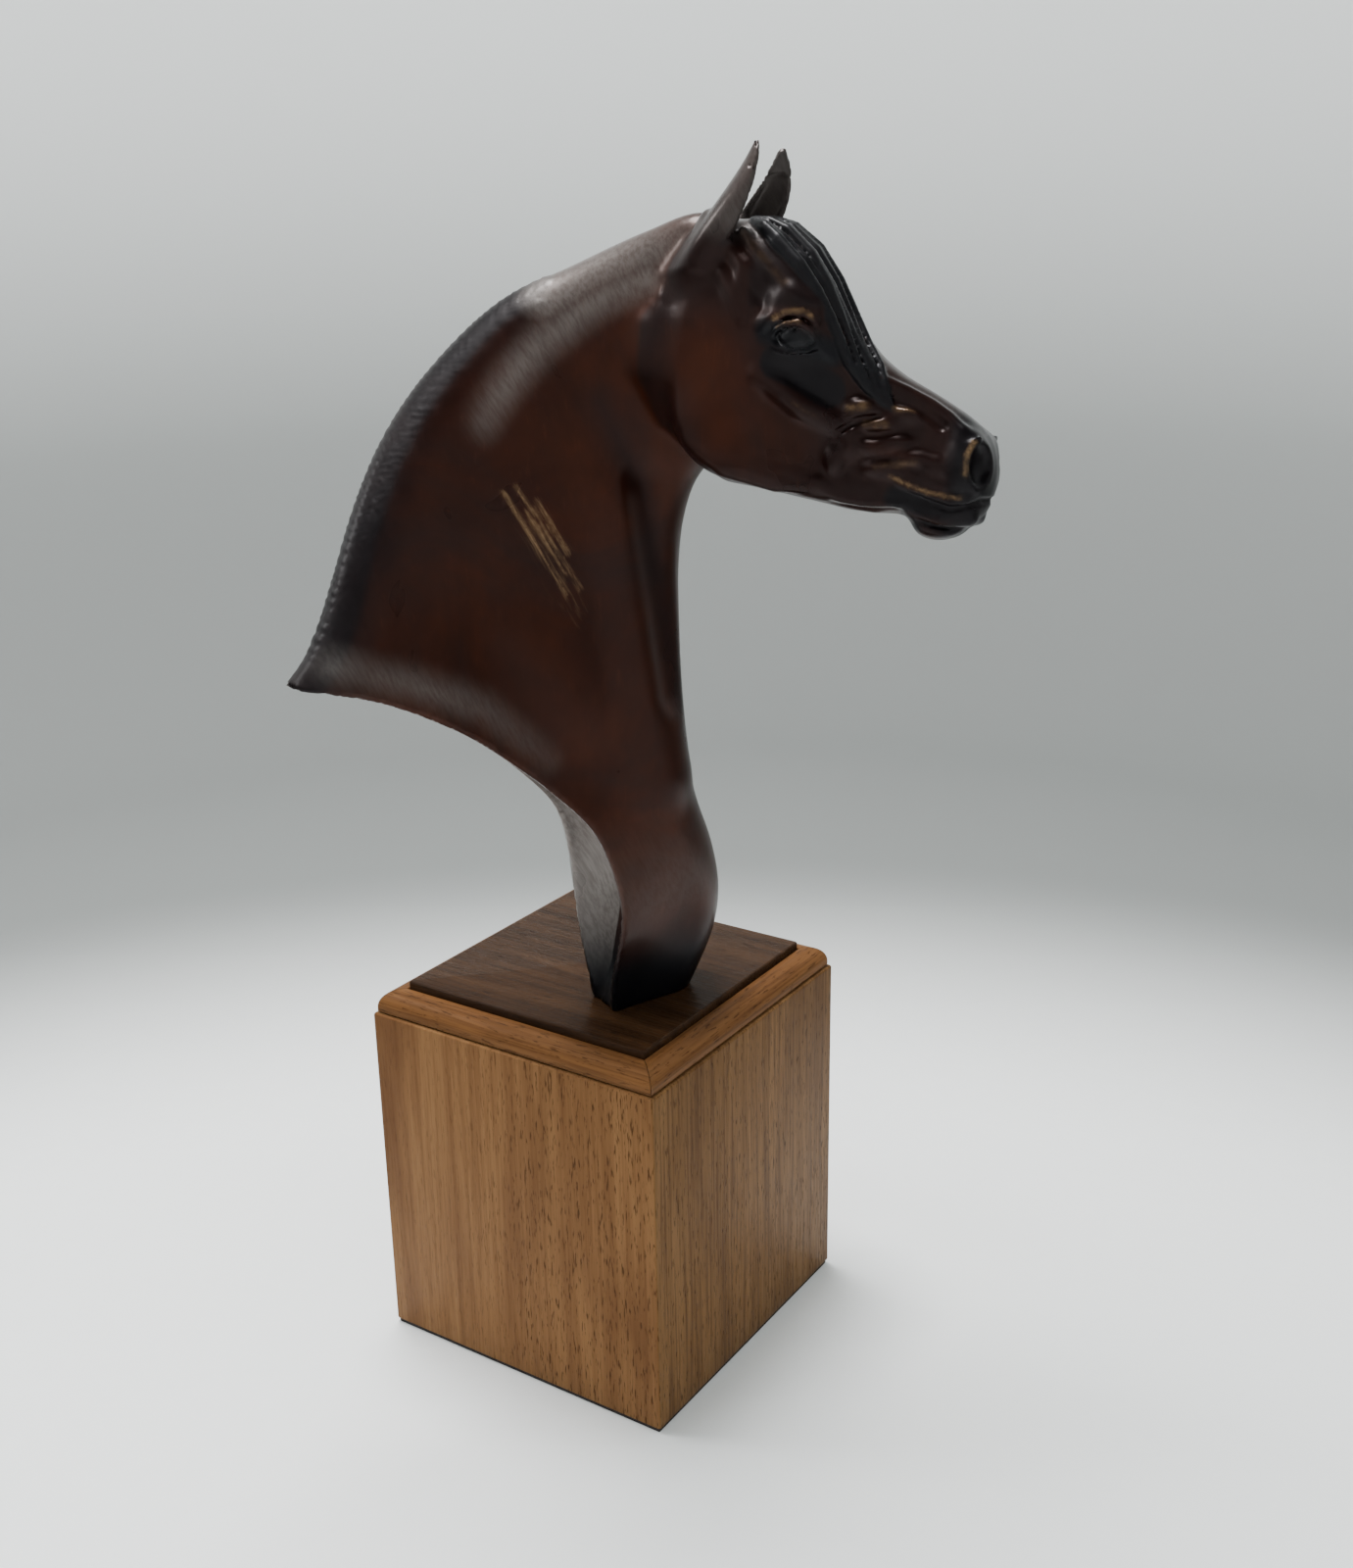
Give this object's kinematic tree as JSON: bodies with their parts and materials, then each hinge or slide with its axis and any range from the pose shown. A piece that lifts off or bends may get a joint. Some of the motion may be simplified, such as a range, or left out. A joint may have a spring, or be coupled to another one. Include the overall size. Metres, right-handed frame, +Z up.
{
  "type": "horse sculpture",
  "caption": "Cast bronze Arabian horse head and neck, open behind, standing on a square walnut plinth with a moulded rim, raised top panel and felt base.",
  "frame": {"origin": "centre of the felt pad's underside", "axes": "+Z up; the plinth's sides run along X and Y; the horse's head points roughly along +X"},
  "size_m": [0.2162, 0.197, 0.4449],
  "materials": {
    "bronze": "lacquered red-brown bronze patina, nearly black on mane, muzzle and foot, worn to gold on high points",
    "felt": "dark felt",
    "walnut_veneer": "satin clear-finished walnut veneer, upright grain with dark pores",
    "panel_walnut": "glossy dark walnut",
    "moulding_walnut": "satin walnut bullnose strip"
  },
  "bodies": {
    "root": {"horse_bust": "bronze", "felt_pad": "felt", "plinth_box": "walnut_veneer", "top_panel": "panel_walnut", "moulding_front_left": "moulding_walnut", "moulding_front_right": "moulding_walnut", "moulding_back_right": "moulding_walnut", "moulding_back_left": "moulding_walnut"}
  },
  "joints": []
}
